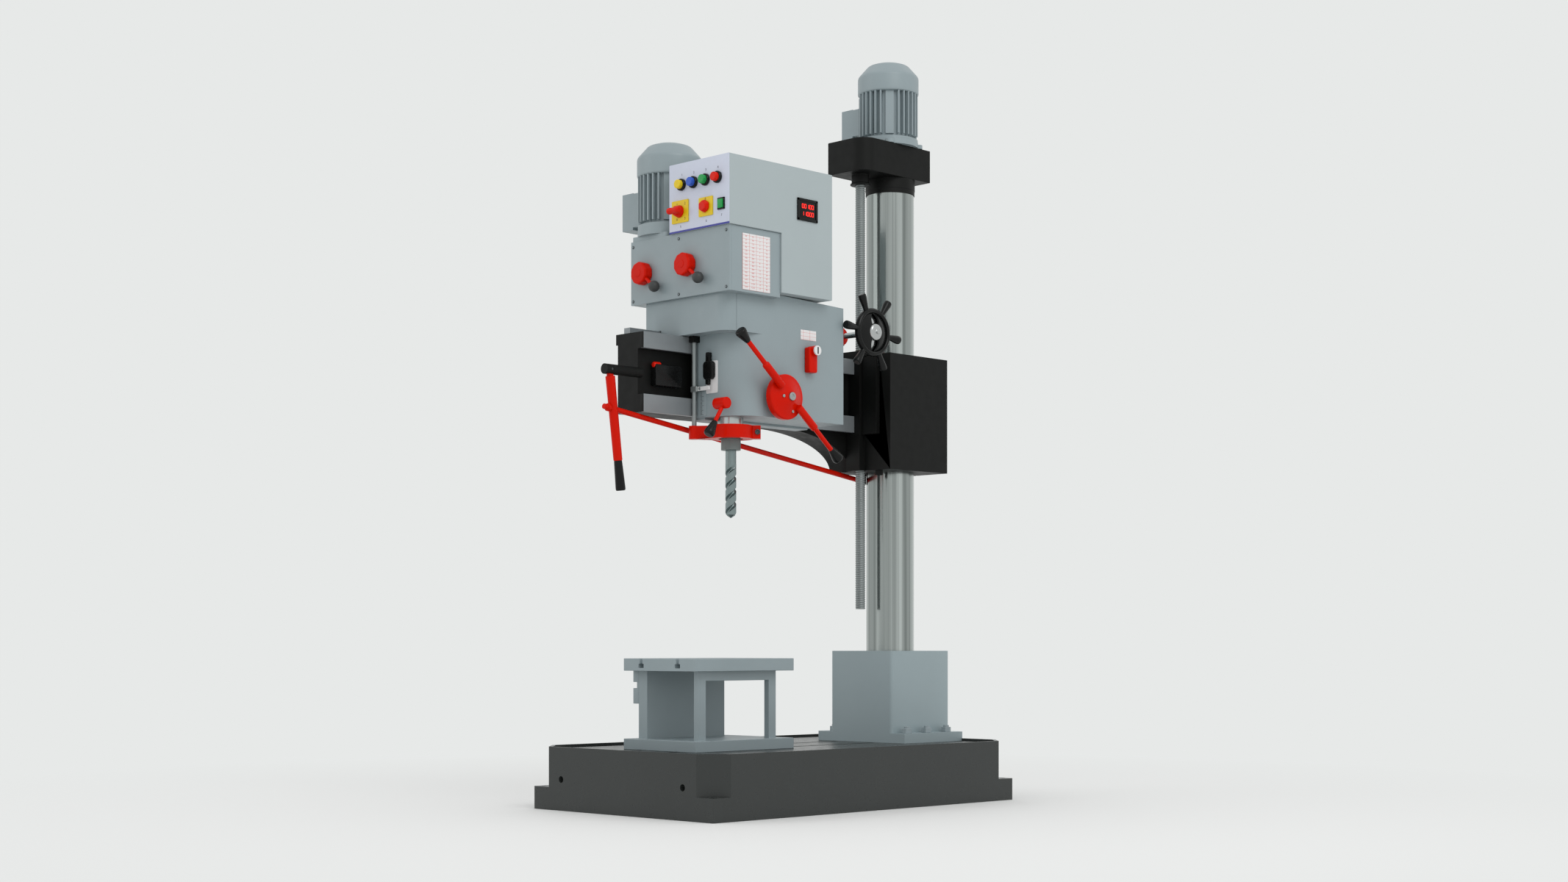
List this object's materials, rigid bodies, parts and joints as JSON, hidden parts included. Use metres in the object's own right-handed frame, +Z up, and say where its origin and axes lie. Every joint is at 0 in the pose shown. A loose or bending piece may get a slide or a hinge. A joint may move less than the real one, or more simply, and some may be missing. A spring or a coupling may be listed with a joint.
{
  "type": "radial arm drill",
  "caption": "Floor-standing radial arm drill: ribbed base with box table, round column, arm that swings and lifts, sliding head with gearbox, motors, quill and twist drill.",
  "frame": {"origin": "centre of the base on the floor, the centre of the four anchor bolts", "axes": "+X to the side with the feed wheel, -Y to the operator along the arm, +Z up along the column"},
  "size_m": [0.778, 1.3508, 2.367],
  "materials": {
    "base_paint": "satin dark grey paint on cast iron",
    "grey_paint": "satin light blue-grey paint",
    "black_paint": "satin black paint",
    "fasteners": "painted over",
    "ground_steel": "ground and bright",
    "machined_iron": "scraped and oiled",
    "bronze": "bare bronze",
    "tool_steel": "ground tool steel",
    "red_paint": "gloss red paint",
    "red_plastic": "gloss",
    "black_plastic": "gloss",
    "yellow_plastic": "gloss",
    "blue_plastic": "gloss",
    "green_plastic": "gloss",
    "panel_sheet": "printed sheet",
    "chart_plate": "printed plate"
  },
  "bodies": {
    "stand": {"base_casting": "base_paint", "work_table": "grey_paint", "column_block": "grey_paint", "column_nuts": "fasteners", "column": "ground_steel"},
    "swing": {"swing_bearing": "ground_steel", "column_collar": "black_paint", "drive_block": "black_paint", "lift_motor_case": "grey_paint", "lift_motor_cowl": "grey_paint", "lift_motor_box": "grey_paint"},
    "screw": {"lifting_screw": "ground_steel"},
    "arm": {"arm_clamp": "black_paint", "lift_nut": "bronze", "arm_casting": "black_paint", "upper_way": "machined_iron", "lower_way": "machined_iron", "guide_rail": "machined_iron", "arm_switch": "black_plastic", "lever_bar": "black_paint", "rod_anchor": "black_paint"},
    "clamp_lever": {"clamp_lever": "red_paint"},
    "clamp_rod": {"clamp_rod": "red_paint"},
    "head": {"head_casting": "grey_paint", "head_keeper": "grey_paint", "gearbox_case": "grey_paint", "gearbox_cover": "grey_paint", "speed_chart": "chart_plate", "electrical_box": "grey_paint", "control_panel": "panel_sheet", "display": "black_plastic", "main_motor_case": "grey_paint", "main_motor_cowl": "grey_paint", "main_motor_box": "grey_paint", "traverse_bracket": "grey_paint", "rod_bracket": "black_paint", "depth_gauge": "chart_plate", "switch_plates": "yellow_plastic"},
    "traverse": {"traverse_wheel": "black_plastic", "traverse_shaft": "ground_steel"},
    "feed": {"feed_wheel": "red_paint", "feed_shaft": "ground_steel"},
    "idler": {"feed_idler": "ground_steel"},
    "pinion": {"quill_pinion": "ground_steel"},
    "quill": {"quill": "ground_steel", "clamp_ring": "red_paint", "depth_rod": "ground_steel"},
    "spindle": {"spindle": "ground_steel", "drill": "tool_steel"},
    "left_selector": {"left_selector": "red_plastic"},
    "right_selector": {"right_selector": "red_plastic"},
    "lever_switch": {"lever_switch": "red_plastic"},
    "round_switch": {"round_switch": "red_plastic"},
    "rocker": {"rocker_switch": "green_plastic"},
    "yellow_button": {"yellow_button": "yellow_plastic"},
    "blue_button": {"blue_button": "blue_plastic"},
    "green_button": {"green_button": "green_plastic"},
    "red_button": {"red_button": "red_plastic"},
    "feed_selector": {"feed_selector": "red_paint"},
    "spindle_clamp": {"spindle_clamp": "red_paint"}
  },
  "joints": [
    {"name": "arm_swing", "type": "hinge", "parent": "stand", "child": "swing", "pos_m": [0, 0.505, 1], "axis": [0, 0, 1], "range_deg": [-160, 160]},
    {"name": "screw_turn", "type": "hinge", "parent": "swing", "child": "screw", "pos_m": [0, 0.363, 1.3], "axis": [0, 0, 1], "continuous": true},
    {"name": "arm_lift", "type": "slide", "parent": "swing", "child": "arm", "axis": [0, 0, 1], "range_m": [-0.28, 0.4]},
    {"name": "clamp_lever_pull", "type": "hinge", "parent": "arm", "child": "clamp_lever", "pos_m": [-0.015, -0.676, 1.278], "axis": [-1, 0, 0], "range_deg": [0, 8]},
    {"name": "clamp_rod_pull", "type": "slide", "parent": "arm", "child": "clamp_rod", "axis": [0.0609, -0.99, 0.1272], "range_m": [0, 0.016]},
    {"name": "head_traverse", "type": "slide", "parent": "arm", "child": "head", "axis": [0, -1, 0], "range_m": [-0.1, 0.14]},
    {"name": "traverse_wheel_turn", "type": "hinge", "parent": "head", "child": "traverse", "pos_m": [0, 0.199, 1.45], "axis": [1, 0, 0], "range_deg": [-198, 278]},
    {"name": "quill_feed", "type": "slide", "parent": "head", "child": "quill", "axis": [0, 0, -1], "range_m": [0, 0.12]},
    {"name": "feed_wheel_turn", "type": "hinge", "parent": "head", "child": "feed", "pos_m": [0, -0.2, 1.2175], "axis": [1, 0, 0], "range_deg": [0, 287]},
    {"name": "feed_idler_turn", "type": "hinge", "parent": "head", "child": "idler", "pos_m": [0, -0.2195, 1.24693], "axis": [1, 0, 0], "range_deg": [-215.5, 0]},
    {"name": "quill_pinion_turn", "type": "hinge", "parent": "head", "child": "pinion", "pos_m": [0, -0.239, 1.2175], "axis": [1, 0, 0], "range_deg": [0, 287]},
    {"name": "spindle_turn", "type": "hinge", "parent": "quill", "child": "spindle", "pos_m": [0.094, -0.3, 1.1], "axis": [0, 0, 1], "continuous": true},
    {"name": "left_selector_turn", "type": "hinge", "parent": "head", "child": "left_selector", "pos_m": [-0.1475, -0.4225, 1.596], "axis": [0, 1, 0], "range_deg": [-40, 40]},
    {"name": "right_selector_turn", "type": "hinge", "parent": "head", "child": "right_selector", "pos_m": [0.0423, -0.4225, 1.6], "axis": [0, 1, 0], "range_deg": [-40, 40]},
    {"name": "lever_switch_turn", "type": "hinge", "parent": "head", "child": "lever_switch", "pos_m": [0.0176, -0.43, 1.758], "axis": [0, 1, 0], "range_deg": [-45, 45]},
    {"name": "round_switch_turn", "type": "hinge", "parent": "head", "child": "round_switch", "pos_m": [0.127, -0.43, 1.758], "axis": [0, 1, 0], "range_deg": [-90, 90]},
    {"name": "rocker_tilt", "type": "hinge", "parent": "head", "child": "rocker", "pos_m": [0.191, -0.4326, 1.758], "axis": [1, 0, 0], "range_deg": [-6, 6]},
    {"name": "yellow_button_press", "type": "slide", "parent": "head", "child": "yellow_button", "axis": [0, 1, 0], "range_m": [0, 0.004], "stiffness_N_per_m": 600, "springref_m": -0.002},
    {"name": "blue_button_press", "type": "slide", "parent": "head", "child": "blue_button", "axis": [0, 1, 0], "range_m": [0, 0.004], "stiffness_N_per_m": 600, "springref_m": -0.002},
    {"name": "green_button_press", "type": "slide", "parent": "head", "child": "green_button", "axis": [0, 1, 0], "range_m": [0, 0.004], "stiffness_N_per_m": 600, "springref_m": -0.002},
    {"name": "red_button_press", "type": "slide", "parent": "head", "child": "red_button", "axis": [0, 1, 0], "range_m": [0, 0.004], "stiffness_N_per_m": 600, "springref_m": -0.002},
    {"name": "feed_selector_turn", "type": "hinge", "parent": "head", "child": "feed_selector", "pos_m": [0.188, -0.064, 1.3675], "axis": [1, 0, 0], "range_deg": [-45, 45]},
    {"name": "spindle_clamp_turn", "type": "hinge", "parent": "head", "child": "spindle_clamp", "pos_m": [0.15, -0.387, 1.191], "axis": [1, 0, 0], "range_deg": [-20, 40]}
  ],
  "couplings": [
    {"joint": "screw_turn", "follows": "arm_lift", "rad_per_m": 1047.2},
    {"joint": "clamp_rod_pull", "follows": "clamp_lever_pull", "m_per_rad": 0.112},
    {"joint": "traverse_wheel_turn", "follows": "head_traverse", "rad_per_m": 34.483},
    {"joint": "feed_wheel_turn", "follows": "quill_feed", "rad_per_m": 41.667},
    {"joint": "feed_idler_turn", "follows": "quill_feed", "rad_per_m": -31.25},
    {"joint": "quill_pinion_turn", "follows": "quill_feed", "rad_per_m": 41.667}
  ]
}
